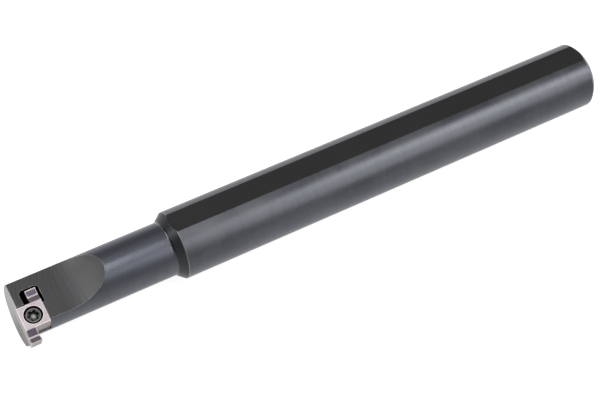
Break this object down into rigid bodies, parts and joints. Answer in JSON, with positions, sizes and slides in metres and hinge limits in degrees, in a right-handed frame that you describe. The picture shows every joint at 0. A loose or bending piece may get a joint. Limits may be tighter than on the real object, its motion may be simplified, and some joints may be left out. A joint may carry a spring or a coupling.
{
  "type": "grooving tool holder",
  "caption": "Round-shank internal grooving bar with clamping flats, a slim neck and an S-shaped indexable insert held by a countersunk six-lobe screw.",
  "frame": {"origin": "centre of the shank's rear end face, on the shank's axis", "axes": "+X along the shank's axis, out of its rear end, so the cutting end lies at -X; +Z out of the upper clamping flat; the cutting edge points to -Y at centre height"},
  "size_m": [0.1504, 0.0175, 0.015],
  "materials": {
    "bar": "blued and satin",
    "insert": "coated carbide, satin",
    "screw": "dark oiled steel"
  },
  "bodies": {
    "holder": {"bar": "bar", "grooving_insert": "insert"},
    "screw": {"clamp_screw": "screw"}
  },
  "joints": [
    {"name": "screw_turn", "type": "hinge", "parent": "holder", "child": "screw", "pos_m": [-0.14731, -0.00391, 0.00191], "axis": [0, -0.2756, 0.9613], "range_deg": [0, 270]}
  ]
}
